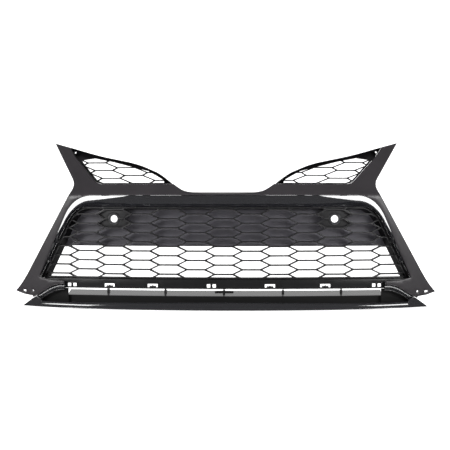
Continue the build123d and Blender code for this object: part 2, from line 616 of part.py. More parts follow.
LIP_POCKET = ((0, 18.6), (356, 15.6), (486, 17.8), (486, 7.2), (412, 5.8), (274, 3.6), (0, 2.8))
LIP_TAB = ((494, 31), (510, 28), (510, 58), (496, 58))
LIP_END_PLATE = ((420, 17), (492, 19), (512, 31), (497, 46), (473, 60), (452, 68), (432, 69), (430, 55.5),
                 (420, 55.5))
lip_bosses = upright_rods(BOSS_R, FLOOR_Z + WALL + 0.1, 21)
lip_pocket = blocks((LIP_POCKET,), LIP_FRONT + SKIN, LIP_BACK + OVERRUN) - lip_bosses
DRIVER_R = HEAD_R + 0.6
with BuildPart() as lower_lip:
    add(prism(lip_line.line))
    add(layer(LIP_FRONT, LIP_BACK), mode=Mode.INTERSECT)
    add(lip_pocket, mode=Mode.SUBTRACT)
    add(blocks((LIP_TAB,), TAB_FRONT, TAB_BACK))
    add(blocks((LIP_END_PLATE,), TAB_FRONT, LIP_BACK))
    add(upright_rods(HOLE_R, FLOOR_Z, SCREW_TOP_Z + 1), mode=Mode.SUBTRACT)
    add(upright_rods(DRIVER_R, -OVERRUN, FLOOR_Z - 0.2), mode=Mode.SUBTRACT)
    add(rods(LIP_SITES, HOLE_R, FRAME_DEPTH - OVERRUN, TAB_BACK + OVERRUN), mode=Mode.SUBTRACT)
    add(spot_faces(LIP_SITES, TAB_BACK), mode=Mode.SUBTRACT)
lower_lip.part.label = "lower_lip"
export_step(lower_lip.part, "parts/lower_lip.step")

with BuildPart() as tray_screws:
    add(upright_rods(SHANK_R, FLOOR_Z - 0.1, SCREW_TOP_Z))
    add(upright_rods(HEAD_R, FLOOR_Z - HEAD_HEIGHT + 0.4, FLOOR_Z))
tray_screws.part.label = "tray_screws"
export_step(tray_screws.part, "parts/tray_screws.step")


# ---------------------------------------------------------------- parking-sensor sleeves

sleeves = sensor_rings(SLEEVE_R, SENSOR_BORE_R, -6, 10) + sensor_rings(SLEEVE_R + 3, SENSOR_BORE_R, -6, -4)
retainers = sensor_rings(SLEEVE_R + 3.2, SLEEVE_R + 0.2, 7, 9.5)
for name, pair in (("sensor_sleeve", sleeves), ("sensor_retainer", retainers)):
    for side, word in ((1, "right"), (-1, "left")):
        with BuildPart() as piece:
            add(one_side(pair, side))
        piece.part.label = f"{name}_{word}"
        export_step(piece.part, f"parts/{name}_{word}.step")


# ---------------------------------------------------------------- brackets and clips

BRACKET_BACK = TAB_FRONT + 2.0
TOP_HOLE_R = 3.5
TOP_FLANGE_Z = 311.0
TOP_HOLE_DEPTH = 38.0
TOP_PLATE = box_outline(-112, 112, 296, TOP_FLANGE_Z + 2)
TOP_FLANGE = ((24.3, TOP_FLANGE_Z), (24.3, TOP_FLANGE_Z + 2), (48, TOP_FLANGE_Z + 2), (48, TOP_FLANGE_Z))
with BuildPart() as top_bracket:
    add(blocks((TOP_PLATE,), TAB_FRONT, BRACKET_BACK, twins=False))
    add(band(TOP_FLANGE, 95))
    with BuildSketch(Plane.XY.offset(TOP_FLANGE_Z - 4)):
        with Locations(*[(side * TOP_TAB_X, surface_y(TOP_TAB_X, 0, TOP_HOLE_DEPTH)) for side in SIDES]):
            Circle(TOP_HOLE_R)
    extrude(amount=10, mode=Mode.SUBTRACT)
    add(rods(TOP_SITES, PAD_R, TAB_FRONT, BRACKET_BACK))
    add(rods(TOP_SITES, HOLE_R, FRAME_DEPTH - OVERRUN, BRACKET_BACK + OVERRUN), mode=Mode.SUBTRACT)
    add(spot_faces(TOP_SITES, BRACKET_BACK), mode=Mode.SUBTRACT)
top_bracket.part.label = "top_bracket"
export_step(top_bracket.part, "parts/top_bracket.step")

SIDE_PLATE = ((473, 170), (480, 142), (494, 142), (489.5, 171), (480, 175))
SIDE_FLANGE = box_outline(487, 489.5, 146, 171)
SIDE_HOLE_Z = 158.0
side_hole_y = surface_y(488, SIDE_HOLE_Z, 34.0)
with BuildPart() as side_brackets:
    add(blocks((SIDE_PLATE,), TAB_FRONT, BRACKET_BACK))
    add(blocks((SIDE_FLANGE,), TAB_FRONT, 46))
    with BuildSketch(Plane.YZ.offset(-HALF_SPAN)):
        with Locations((side_hole_y, SIDE_HOLE_Z)):
            Circle(TOP_HOLE_R)
    extrude(amount=2 * HALF_SPAN, mode=Mode.SUBTRACT)
    add(rods(BRACKET_SITES, HOLE_R, FRAME_DEPTH - OVERRUN, BRACKET_BACK + OVERRUN), mode=Mode.SUBTRACT)
    add(spot_faces(BRACKET_SITES, BRACKET_BACK), mode=Mode.SUBTRACT)
for side, word in ((1, "right"), (-1, "left")):
    with BuildPart() as side_bracket:
        add(one_side(side_brackets.part, side))
    side_bracket.part.label = f"side_bracket_{word}"
    export_step(side_bracket.part, f"parts/side_bracket_{word}.step")

with BuildPart() as corner_clips:
    add(blocks((box_outline(511, 527, 39, 55),), TAB_FRONT, BRACKET_BACK))
    add(rods((CORNER_HOLE,), CORNER_HOLE_R, TAB_FRONT - OVERRUN, BRACKET_BACK + OVERRUN),
        mode=Mode.SUBTRACT)
corner_clips.part.label = "corner_clips"
export_step(corner_clips.part, "parts/corner_clips.step")


# ---------------------------------------------------------------- screws

screw_groups = (
    ("bezel_screws", screws(BEZEL_SITES, TAB_BACK, 10)),
    ("mesh_screws", screws(MESH_SITES, TUB_FRONT + WALL, 16)),
    ("upper_mesh_screws", screws(UPPER_SITES, TAB_BACK, 10)),
    ("rail_screws", screws(RAIL_SITES, rail_wall_back, 12)),
    ("lip_screws", screws(LIP_SITES, TAB_BACK, 10)),
    ("bracket_screws", screws(BRACKET_SITES + TOP_SITES, BRACKET_BACK, 10)),
    ("panel_screws", screws(PANEL_SITES, PANEL_BACK, 6)),
)
for name, group in screw_groups:
    group.label = name
    export_step(group, f"parts/{name}.step")
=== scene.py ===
from math import atan2, cos, hypot, pi, radians, sin, sqrt

import bmesh
import bpy
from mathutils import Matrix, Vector
from mathutils.geometry import delaunay_2d_cdt


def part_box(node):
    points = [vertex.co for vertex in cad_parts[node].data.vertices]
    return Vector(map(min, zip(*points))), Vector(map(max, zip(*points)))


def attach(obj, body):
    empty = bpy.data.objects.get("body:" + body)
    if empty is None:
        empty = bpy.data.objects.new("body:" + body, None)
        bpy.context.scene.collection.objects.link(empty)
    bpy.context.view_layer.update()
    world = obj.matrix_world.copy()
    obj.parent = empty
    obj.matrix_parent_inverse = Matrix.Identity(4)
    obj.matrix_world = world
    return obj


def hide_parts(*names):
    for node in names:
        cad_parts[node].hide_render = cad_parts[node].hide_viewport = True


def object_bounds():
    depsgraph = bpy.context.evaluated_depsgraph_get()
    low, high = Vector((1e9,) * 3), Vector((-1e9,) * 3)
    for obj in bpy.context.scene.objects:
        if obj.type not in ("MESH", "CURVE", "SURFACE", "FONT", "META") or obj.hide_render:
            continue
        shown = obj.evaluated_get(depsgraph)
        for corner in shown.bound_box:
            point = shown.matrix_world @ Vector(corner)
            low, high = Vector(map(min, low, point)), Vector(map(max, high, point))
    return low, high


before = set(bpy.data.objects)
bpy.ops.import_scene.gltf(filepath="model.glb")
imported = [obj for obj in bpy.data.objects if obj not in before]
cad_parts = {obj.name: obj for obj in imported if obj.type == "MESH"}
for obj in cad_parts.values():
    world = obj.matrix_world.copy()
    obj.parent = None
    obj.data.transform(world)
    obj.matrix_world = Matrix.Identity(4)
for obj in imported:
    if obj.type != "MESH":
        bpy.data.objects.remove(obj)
CAD_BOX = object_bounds()

# Shapes are worked out in millimetres in the front view (x, z) and laid on the grille's styled
# surface, which is bent round an upright axis and leans back above the main opening.
# "Depth" is the distance behind that surface.
MM = 0.001
FRONT_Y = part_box("opening_bezel")[0][1] / MM
PLAN_RADIUS = 1700.0
AXIS_Y = FRONT_Y + PLAN_RADIUS
RAKE_START_Z = 305.0
RAKE_SLOPE = 0.78
RAKE_BLEND = 3.0
ROOT = "root"


# ---------------------------------------------------------------- the styled surface and curves

def surface(x, z, depth):
    """Point in millimetres that lies depth behind the styled surface at x, z."""
    over = z - RAKE_START_Z
    if over <= -RAKE_BLEND:
        lean = 0.0
    elif over >= RAKE_BLEND:
        lean = over
    else:
        lean = (over + RAKE_BLEND) ** 2 / (4 * RAKE_BLEND)
    radius = PLAN_RADIUS - depth - RAKE_SLOPE * lean
    return Vector((x, AXIS_Y - sqrt(radius * radius - x * x), z))


def bezier(p0, p1, p2, p3, count):
    """Points on a cubic curve, without its last point."""
    points = []
    for i in range(count):
        t = i / count
        a, b, c, d = (1 - t) ** 3, 3 * t * (1 - t) ** 2, 3 * t * t * (1 - t), t ** 3
        points.append((a * p0[0] + b * p1[0] + c * p2[0] + d * p3[0],
                       a * p0[1] + b * p1[1] + c * p2[1] + d * p3[1]))
    return points


def line(p0, p1, step):
    """Evenly spaced points on a straight run, without its last point."""
    count = max(1, round(hypot(p1[0] - p0[0], p1[1] - p0[1]) / step))
    return [(p0[0] + (p1[0] - p0[0]) * i / count, p0[1] + (p1[1] - p0[1]) * i / count) for i in range(count)]


def smooth(points, step):
    """Points on a smooth curve through the given ones, without its last point."""
    ends = [tuple(2 * a - b for a, b in zip(points[0], points[1])), *points,
            tuple(2 * a - b for a, b in zip(points[-1], points[-2]))]
    out = []
    for p0, p1, p2, p3 in zip(ends, ends[1:], ends[2:], ends[3:]):
        count = max(1, round(hypot(p2[0] - p1[0], p2[1] - p1[1]) / step))
        for i in range(count):
            t = i / count
            out.append(tuple(0.5 * (2 * b + (c - a) * t + (2 * a - 5 * b + 4 * c - d) * t * t
                                    + (3 * b - a - 3 * c + d) * t ** 3)
                             for a, b, c, d in zip(p0, p1, p2, p3)))
    return out


def at(points, x):
    """Height of a run of (x, z) points, in rising x, at the given x."""
    for (x0, z0), (x1, z1) in zip(points, points[1:]):
        if x <= x1:
            return z0 + (z1 - z0) * (x - x0) / (x1 - x0)
    return points[-1][1]


def twin(points):
    """Mirror image of an open half outline, in reverse order."""
    return [(-x, z) for x, z in reversed(points)]


def area(loop):
    """Signed area of a closed outline, positive when it runs anticlockwise."""
    return sum(a[0] * b[1] - b[0] * a[1] for a, b in zip(loop, loop[1:] + loop[:1])) / 2


def inset(loop, amount):
    """Closed outline moved towards its inside by amount, with mitred corners."""
    turn = 1 if area(loop) > 0 else -1
    out = []
    for before, here, after in zip(loop[-1:] + loop[:-1], loop, loop[1:] + loop[:1]):
        ax, az = here[0] - before[0], here[1] - before[1]
        bx, bz = after[0] - here[0], after[1] - here[1]
        la, lb = hypot(ax, az) or 1.0, hypot(bx, bz) or 1.0
        nx, nz = -(az / la + bz / lb), ax / la + bx / lb
        length = hypot(nx, nz) or 1.0
        share = max(0.45, length / 2)
        out.append((here[0] + turn * amount * nx / length / share,
                    here[1] + turn * amount * nz / length / share))
    return out


def shift(loop, amount):
    """Closed outline moved to the left of its direction of travel, into the material of a plate."""
    return inset(loop, amount if area(loop) > 0 else -amount)


def clip(loop, limits):
    """Part of a convex outline inside a convex anticlockwise one."""
    for (ax, az), (bx, bz) in zip(limits, limits[1:] + limits[:1]):
        side = [(bx - ax) * (z - az) - (bz - az) * (x - ax) for x, z in loop]
        out = []
        for i, (p, s) in enumerate(zip(loop, side)):
            q, t = loop[i - 1], side[i - 1]
            if (s >= 0) != (t >= 0):
                u = t / (t - s)
                out.append((q[0] + u * (p[0] - q[0]), q[1] + u * (p[1] - q[1])))
            if s >= 0:
                out.append(p)
        loop = out
        if len(loop) < 3:
            return []
    return loop


def shrink_convex(loop, amount):
    """Convex anticlockwise outline cut back by amount along every side."""
    out = loop
    for (ax, az), (bx, bz) in zip(loop, loop[1:] + loop[:1]):
        length = hypot(bx - ax, bz - az)
        if length < 1e-6:
            continue
        nx, nz = -(bz - az) / length * amount, (bx - ax) / length * amount
        far = 2000.0
        ux, uz = (bx - ax) / length * far, (bz - az) / length * far
        wall = [(ax + nx - ux, az + nz - uz), (bx + nx + ux, bz + nz + uz)]
        half = wall + [(wall[1][0] + nx / amount * far, wall[1][1] + nz / amount * far),
                       (wall[0][0] + nx / amount * far, wall[0][1] + nz / amount * far)]
        out = clip(out, half)
        if not out:
            return []
    return out


def tidy(loop, least=0.6):
    """Outline without corners that almost coincide."""
    out = []
    for point in loop:
        if not out or hypot(point[0] - out[-1][0], point[1] - out[-1][1]) > least:
            out.append(point)
    while len(out) > 1 and hypot(out[0][0] - out[-1][0], out[0][1] - out[-1][1]) <= least:
        out.pop()
    return out


def round_corners(loop, radius, steps=3):
    """Closed outline with every corner rounded."""
    out = []
    for before, here, after in zip(loop[-1:] + loop[:-1], loop, loop[1:] + loop[:1]):
        la = hypot(before[0] - here[0], before[1] - here[1])
        lb = hypot(after[0] - here[0], after[1] - here[1])
        reach = min(radius, 0.42 * la, 0.42 * lb)
        start = tuple(h + (b - h) * reach / la for h, b in zip(here, before))
        end = tuple(h + (a - h) * reach / lb for h, a in zip(here, after))
        for i in range(steps + 1):
            t = i / steps
            out.append(tuple((1 - t) ** 2 * s + 2 * t * (1 - t) * h + t * t * e
                             for s, h, e in zip(start, here, end)))
    return out


def circle(x, z, radius, count=32):
    """Round outline."""
    return [(x + radius * cos(2 * pi * i / count), z + radius * sin(2 * pi * i / count))
            for i in range(count)]


def rectangle(x0, x1, z0, z1):
    """Upright rectangular outline, anticlockwise."""
    return [(x0, z0), (x1, z0), (x1, z1), (x0, z1)]


def divided(loop, step):
    """Closed outline with its sides split into runs of about one step."""
    return [point for a, b in zip(loop, loop[1:] + loop[:1]) for point in line(a, b, step)]


def rounded_edge(radius, front):
    """(Inset, depth) pairs that roll a plate's side over into its front face."""
    return [(radius * (1 - cos(radians(angle))), front + radius * (1 - sin(radians(angle))))
            for angle in (0, 30, 60, 90)]


# ---------------------------------------------------------------- mesh building

class Shell:
    """Vertices in millimetres and faces of one piece, built up part by part."""

    def __init__(self):
        self.verts = []
        self.faces = []

    def ring(self, points):
        """Adds points and gives their numbers."""
        start = len(self.verts)
        self.verts.extend(points)
        return list(range(start, len(self.verts)))

    def ring_at(self, loop, depth):
        """Ring of a loop's points laid at one depth."""
        return self.ring([surface(x, z, depth) for x, z in loop])

    def bridge(self, a, b):
        """Joins two closed rings of equal length with four-sided faces."""
        for i in range(len(a)):
            j = (i + 1) % len(a)
            self.faces.append((a[i], a[j], b[j], b[i]))

    def sweep(self, sections):
        """Skins a row of closed sections, with flat ends."""
        rings = [self.ring(section) for section in sections]
        for a, b in zip(rings, rings[1:]):
            self.bridge(a, b)
        self.faces.append(tuple(reversed(rings[0])))
        self.faces.append(tuple(rings[-1]))

    def fill(self, loops, rings, place, spacing):
        """Fills the area inside loops[0] and outside the others, on the surface place(x, z).
        rings are the numbers of the loops' vertices, which the new faces share."""
        coords, numbers = [], []
        for loop, ring in zip(loops, rings):
            coords.extend(loop)
            numbers.extend(ring)
        faces, start = [], 0
        for loop in loops:
            span = list(range(start, start + len(loop)))
            faces.append(span if area(loop) > 0 else span[::-1])
            start += len(loop)
        if spacing:
            coords = coords + grid(loops, spacing)
        result = delaunay_2d_cdt([Vector(c) for c in coords], [], faces, 1, 1e-5)
        points, _, triangles, origins, _, owners = result
        names = {}
        for new, old in enumerate(origins):
            known = [o for o in old if o < len(numbers)]
            names[new] = numbers[known[0]] if known else self.ring([place(points[new][0], points[new][1])])[0]
        for triangle, owner in zip(triangles, owners):
            if owner == [0] or set(owner) == {0}:
                self.faces.append(tuple(names[v] for v in triangle))

    def plate(self, outer, holes, front, back, edge=0.6, spacing=14.0, back_edge=None, hole_draft=0.0):
        """Plate on the styled surface between two depths, with rounded front edges."""
        back_edge = edge if back_edge is None else back_edge
        outer = divided(outer, 12)
        loops = [outer if area(outer) > 0 else outer[::-1]]
        loops += [hole if area(hole) < 0 else hole[::-1] for hole in holes]
        profiles = rounded_edge(edge, front)
        front_rings, back_rings = [], []
        for number, loop in enumerate(loops):
            draft = hole_draft if number else 0.0
            rings = [self.ring_at(shift(loop, amount + draft), depth) for amount, depth in profiles]
            for a, b in zip(rings, rings[1:]):
                self.bridge(b, a)
            side = self.ring_at(loop, back - back_edge)
            tail = self.ring_at(shift(loop, back_edge), back)
            self.bridge(rings[0], side)
            self.bridge(side, tail)
            front_rings.append(rings[-1])
            back_rings.append(tail)
        front_loops = [shift(loop, edge + (hole_draft if n else 0.0)) for n, loop in enumerate(loops)]
        back_loops = [shift(loop, back_edge) for loop in loops]
        self.fill(front_loops, front_rings, lambda x, z: surface(x, z, front), spacing)
        self.fill(back_loops, back_rings, lambda x, z: surface(x, z, back), spacing)

    def block(self, outline, front, back, edge=0.5):
        """Small plate with no holes."""
        self.plate(tidy(outline), [], front, back, edge, spacing=0)

    def tube(self, centre, axis, profile, count=40):
        """Turned ring whose closed profile (along the axis, radius) does not touch the axis."""
        axis = axis.normalized()
        across = axis.orthogonal().normalized()
        other = axis.cross(across)
        rings = []
        for along, radius in profile:
            rings.append(self.ring([centre + axis * along + (across * cos(2 * pi * i / count)
                                    + other * sin(2 * pi * i / count)) * radius for i in range(count)]))
        for a, b in zip(rings, rings[1:] + rings[:1]):
            self.bridge(a, b)

    def finish(self, name, material, stands_for=(), sharp=32.0):
        """Makes the Blender object, rides it on the body and hides the CAD parts it stands for."""
        mesh = bpy.data.meshes.new(name)
        mesh.from_pydata([v * MM for v in self.verts], [], self.faces)
        mesh.validate()
        piece = bpy.data.objects.new(name, mesh)
        bpy.context.collection.objects.link(piece)
        bm = bmesh.new()
        bm.from_mesh(mesh)
        bmesh.ops.recalc_face_normals(bm, faces=bm.faces)
        bm.to_mesh(mesh)
        bm.free()
        mesh.shade_smooth()
        mesh.set_sharp_from_angle(angle=radians(sharp))
        mesh.materials.append(material)
        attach(piece, ROOT)
        if stands_for:
            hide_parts(*stands_for)
        return piece


def grid(loops, spacing):
    """Staggered points inside loops[0], outside the others and clear of every edge."""
    xs = [p[0] for p in loops[0]]
    zs = [p[1] for p in loops[0]]
    edges = [(a, b) for loop in loops for a, b in zip(loop, loop[1:] + loop[:1])]
    found = []
    rows = int((max(zs) - min(zs)) / (spacing * 0.87)) + 1
    for row in range(rows):
        z = min(zs) + (row + 0.5) * spacing * 0.87
        near = [(a, b) for a, b in edges
                if min(a[1], b[1]) - spacing < z < max(a[1], b[1]) + spacing]
        crossings = sorted(a[0] + (z - a[1]) * (b[0] - a[0]) / (b[1] - a[1])
                           for a, b in edges if (a[1] > z) != (b[1] > z))
        for low, high in zip(crossings[::2], crossings[1::2]):
            first = int((low - min(xs)) / spacing)
            last = int((high - min(xs)) / spacing) + 1
            for column in range(first, last + 1):
                x = min(xs) + (column + 0.5 * (row % 2)) * spacing
                if low < x < high and all(gap(x, z, a, b) > 0.45 * spacing for a, b in near):
                    found.append((x, z))
    return found


def gap(x, z, a, b):
    """Distance from a point to a segment."""
    dx, dz = b[0] - a[0], b[1] - a[1]
    size = dx * dx + dz * dz
    t = 0.0 if size == 0 else max(0.0, min(1.0, ((x - a[0]) * dx + (z - a[1]) * dz) / size))
    return hypot(x - a[0] - t * dx, z - a[1] - t * dz)


# ---------------------------------------------------------------- materials

def plastic(name, colour, roughness, grain=0.0, grain_scale=900.0, coat=0.0, mottle=0.12, specular=0.5):
    """Moulded plastic: a base colour with slight cloudiness, patchy roughness and a fine grain."""
    material = bpy.data.materials.new(name)
    material.use_nodes = True
    nodes, links = material.node_tree.nodes, material.node_tree.links
    shader = nodes["Principled BSDF"]
    place = nodes.new("ShaderNodeTexCoord")

    def noise(scale, detail):
        texture = nodes.new("ShaderNodeTexNoise")
        texture.inputs["Scale"].default_value = scale
        texture.inputs["Detail"].default_value = detail
        links.new(place.outputs["Object"], texture.inputs["Vector"])
        return texture.outputs["Fac"]

    tint = nodes.new("ShaderNodeValToRGB")
    tint.color_ramp.elements[0].position = 0.3
    tint.color_ramp.elements[1].position = 0.7
    tint.color_ramp.elements[0].color = (*[c * (1 - mottle) for c in colour], 1)
    tint.color_ramp.elements[1].color = (*[c * (1 + mottle) for c in colour], 1)
    links.new(noise(14.0, 5.0), tint.inputs["Fac"])
    links.new(tint.outputs["Color"], shader.inputs["Base Color"])
    spread = nodes.new("ShaderNodeMapRange")
    spread.inputs["To Min"].default_value = roughness * 0.9
    spread.inputs["To Max"].default_value = roughness * 1.12
    links.new(noise(45.0, 3.0), spread.inputs["Value"])
    links.new(spread.outputs["Result"], shader.inputs["Roughness"])
    shader.inputs["Specular IOR Level"].default_value = specular
    shader.inputs["Coat Weight"].default_value = coat
    shader.inputs["Coat Roughness"].default_value = 0.04
    if grain:
        bump = nodes.new("ShaderNodeBump")
        bump.inputs["Strength"].default_value = grain
        bump.inputs["Distance"].default_value = 0.0002
        links.new(noise(grain_scale, 2.0), bump.inputs["Height"])
        links.new(bump.outputs["Normal"], shader.inputs["Normal"])
    return material


def metal(name, colour, roughness, streak=160.0):
    """Plated steel: metallic, with fine drawn streaks in its roughness and a slight bump."""
    material = plastic(name, colour, roughness, grain=0.15, grain_scale=streak, mottle=0.2)
    shader = material.node_tree.nodes["Principled BSDF"]
    shader.inputs["Metallic"].default_value = 0.9
    return material


SATIN = plastic("satin_black", (0.020, 0.0175, 0.020), 0.33, grain=0.12, grain_scale=700.0)
GLOSS = plastic("gloss_black", (0.010, 0.010, 0.012), 0.10, grain=0.02, grain_scale=300.0, coat=0.6,
                mottle=0.05)
MESH_BLACK = plastic("mesh_black", (0.009, 0.0085, 0.0095), 0.36, grain=0.15, specular=0.4)
PANEL_GREY = plastic("panel_grey", (0.115, 0.11, 0.128), 0.5, grain=0.25)
RAIL_BLACK = plastic("rail_black", (0.006, 0.006, 0.0065), 0.34, grain=0.12, specular=0.3)
TRAY_BLACK = plastic("tray_black", (0.020, 0.019, 0.020), 0.2, grain=0.04)
# Near-black with little shine for pieces set where only shadow falls: painted shade in the tray's front
# recess and inside the lip's ends.
PAINTED_SHADE_BLACK = plastic("tray_shadow_black", (0.005, 0.005, 0.005), 0.6, grain=0.2, specular=0.2)
SLEEVE = plastic("sleeve_black", (0.02, 0.02, 0.022), 0.35, grain=0.1)
NYLON = plastic("clip_nylon", (0.04, 0.04, 0.042), 0.5, grain=0.2)
ZINC = metal("zinc_steel", (0.50, 0.50, 0.49), 0.38)
SCREW = metal("screw_steel", (0.10, 0.10, 0.105), 0.35)

SIDES = (-1, 1)


def both(polygon):
    """The polygon and its mirror twin."""
    return [list(polygon), twin(polygon)]


# ---------------------------------------------------------------- surround frame

SKIN, WALL, FRAME_DEPTH = 3.0, 1.8, 18.0
FRAME_EDGE, BACK_EDGE = 1.1, 0.4
CREASE_GAP = 0.6
CREASE_TOP = 304.3
BEZEL_FOOT, EDGE_FOOT = (499.5, 86.0), (498.9, 86.0)
CREASE_END = (427.0, 251.0)
HORN_TIP, HORN_ROOT = (473.0, 449.5), (430.0, 437.5)


def frame_outline():
    """Silhouette of the surround, with the crease of the opening on the inside."""
    g = CREASE_GAP
    half = smooth([(0, 310), (32, 310.2), (61, 311), (91, 314), (107, 318), (121, 326), (134, 335)], 4)
    half += line((134, 335), (330, 335), 8)
    half += smooth([(330, 335), (346, 342), (380, 378), (407, 406.5), (419, 422), HORN_ROOT], 4)
    half += line(HORN_ROOT, HORN_TIP, 6)
    half += line(HORN_TIP, (411, 350), 8)
    half += bezier((411, 350), (404, 338), (404, 329), (411, 316), 10)
    half += line((411, 316), (529, 102), 9)
    half += bezier((529, 102), (543, 77), (556, 58), (568.5, 46.5), 10)
    half += line((568.5, 46.5), (544, 38), 6)
    half += line((544, 38), (520, 34), 6)
    half += line((520, 34), (517, 29.6), 4)
    half += smooth([(517, 29.6), (496, 41.2), (473, 56.2), (458, 62.6), (444, 65.9), (430, 66.8)], 4)
    half += line((430, 66.8), (430, 75), 5)
    half += bezier((430, 75), (468, 76), (488, 80), (BEZEL_FOOT[0] + g, BEZEL_FOOT[1]), 16)
    half += line((BEZEL_FOOT[0] + g, BEZEL_FOOT[1]), (CREASE_END[0] + g, CREASE_END[1]), 9)
    half += bezier((CREASE_END[0] + g, CREASE_END[1]), (414 + g, 279 + g), (392, CREASE_TOP + g),
                   (352, CREASE_TOP + g), 16)
    half += line((352, CREASE_TOP + g), (0, CREASE_TOP + g), 8)
    half.append((0, CREASE_TOP + g))
    return half[1:-1] + [half[-1]] + [(-x, z) for x, z in reversed(half[1:-1])] + [half[0]]


# Ribs between the back pockets, and the screw bosses, on the right-hand side.
FRAME_RIBS = (
    ((349, 306), (355, 306), (355, 334), (349, 334)),
    ((404, 296), (424, 286), (426, 290), (410, 302)),
    ((438, 231), (455, 231), (452, 235), (436, 235)),
    ((467, 164), (491, 164), (489, 167.5), (466, 167.5)),
    ((496, 98), (528, 98), (527, 101), (496, 101)),
    ((488, 58), (494, 58), (492, 75), (486, 75)),
)
BEZEL_SITES = ((205, 316), (318, 316), (452, 222), (498, 132))
MESH_SITES = ((245, 316), (471, 183))
UPPER_SITES = ((172, 324), (280, 324), (424, 403))
BOSSES = BEZEL_SITES + MESH_SITES + UPPER_SITES + ((441, 70.8), (503, 52), (487, 150), (479, 166))
SCREW_HOLE_R = 2.3
BACK = Vector((0, 1, 0))


def boss(shell, x, z, front, back, outer, inner):
    """Round screw boss between two depths, with a blind hole from behind."""
    def ring(radius, depth):
        return shell.ring_at(circle(x, z, radius, 24), depth)

    base, foot = ring(outer + 1.0, front), ring(outer + 0.2, front + 2)
    rim, lip = ring(outer, back - 0.5), ring(outer - 0.5, back)
    mouth, throat, floor = ring(inner + 0.4, back), ring(inner, back - 0.5), ring(inner, front + 1.5)
    for one, other in zip((base, foot, rim, lip, mouth, throat), (foot, rim, lip, mouth, throat, floor)):
        shell.bridge(one, other)
    shell.faces.append(tuple(base))
    shell.faces.append(tuple(floor))


def make_frame():
    """Front skin with rounded edges and returns, hollow behind, with ribs and bosses."""
    shell = Shell()
    outer = frame_outline()
    if area(outer) < 0:
        outer.reverse()
    # slots at the lower corners
    holes = []
    for side in SIDES:
        notch = round_corners([(538, 50), (538, 42.5), (548.5, 45), (548.5, 49.5)], 2.0)
        holes.append([(side * x, z) for x, z in notch])
        holes.append(circle(side * 519, 47, 3.2, 20))
    front_rings, floor_rings, front_loops, floor_loops = [], [], [], []
    for number, loop in enumerate([outer] + holes):
        if (area(loop) > 0) != (number == 0):
            loop = loop[::-1]
        rows = [shell.ring_at(shift(loop, amount), depth) for amount, depth in rounded_edge(FRAME_EDGE, 0)]
        for a, b in zip(rows, rows[1:]):
            shell.bridge(b, a)
        front_rings.append(rows[-1])
        back = shell.ring_at(loop, FRAME_DEPTH - BACK_EDGE)
        lip = shell.ring_at(shift(loop, BACK_EDGE), FRAME_DEPTH)
        inner = shell.ring_at(shift(loop, WALL), FRAME_DEPTH)
        floor = shell.ring_at(shift(loop, WALL), SKIN)
        for a, b in ((rows[0], back), (back, lip), (lip, inner), (inner, floor)):
            shell.bridge(a, b)
        floor_rings.append(floor)
        front_loops.append(shift(loop, FRAME_EDGE))
        floor_loops.append(shift(loop, WALL))
    shell.fill(front_loops, front_rings, lambda x, z: surface(x, z, 0), 9.0)
    shell.fill(floor_loops, floor_rings, lambda x, z: surface(x, z, SKIN), 16.0)
    for polygon in FRAME_RIBS:
        for copy in both(polygon):
            shell.block(copy, SKIN - 0.5, FRAME_DEPTH - 1.5, 0.4)
    for x, z in BOSSES:
        for side in SIDES:
            boss(shell, side * x, z, SKIN - 0.6, FRAME_DEPTH, 5.0, 2.2)
    shell.finish("frame_shell", SATIN, ("surround_frame",))


# ---------------------------------------------------------------- gloss bezel

BEZEL_DEPTH = 25.0
EDGE_TOP = 274.5


def crease_half():
    """Front crease from the top centre to the foot of the right leg."""
    points = line((0, CREASE_TOP), (352, CREASE_TOP), 12)
    points += bezier((352, CREASE_TOP), (392, CREASE_TOP), (414, 279), CREASE_END, 28)
    points += line(CREASE_END, BEZEL_FOOT, 9)
    return points + [BEZEL_FOOT]


def edge_half():
    """Inner edge of the bezel, matched point for point with the crease."""
    points = line((0, EDGE_TOP), (352, EDGE_TOP), 12)
    count = len(points)
    points = [(366 * i / count, EDGE_TOP) for i in range(count)]
    points += bezier((366, EDGE_TOP), (398, EDGE_TOP), (416, 252), (429, 225), 28)
    foot = EDGE_FOOT
    count = len(crease_half()) - len(points) - 1
    points += [(429 + (foot[0] - 429) * i / count, 225 + (foot[1] - 225) * i / count) for i in range(count)]
    return points + [foot]


def outward(half, index):
    """Unit direction in the front view that points away from the opening."""
    before = half[max(0, index - 1)]
    after = half[min(len(half) - 1, index + 1)]
    dx, dz = after[0] - before[0], after[1] - before[1]
    size = hypot(dx, dz)
    return (-dz / size, dx / size)


def band_sections(front, front_depth, rear, rear_depth, thickness, profile):
    """Closed sections of a tapering band from the left foot over the top to the right foot.
    profile(i) lists (share of the way in, share of the way back) points of the visible face."""
    sections = []
    for i, ((xf, zf), (xr, zr)) in enumerate(zip(front, rear)):
        nx, nz = outward(front, i)
        if i == 0:
            nx, nz = 0.0, 1.0
        out = Vector((nx, 0, nz))
        face = []
        for inward, back in profile(i):
            x, z = xf + (xr - xf) * inward, zf + (zr - zf) * inward
            face.append(surface(x, z, front_depth + (rear_depth - front_depth) * back))
        start, end = face[0], face[-1]
        behind = [end + out * thickness]
        for point in reversed(face[2:-2]):
            behind.append(point + out * thickness * 0.4 + Vector((0, thickness, 0)))
        behind.append(start + Vector((0, thickness * 1.6, 0)))
        sections.append(face + behind)
    mirrored = [[Vector((-p.x, p.y, p.z)) for p in section] for section in reversed(sections[1:])]
    return mirrored + sections


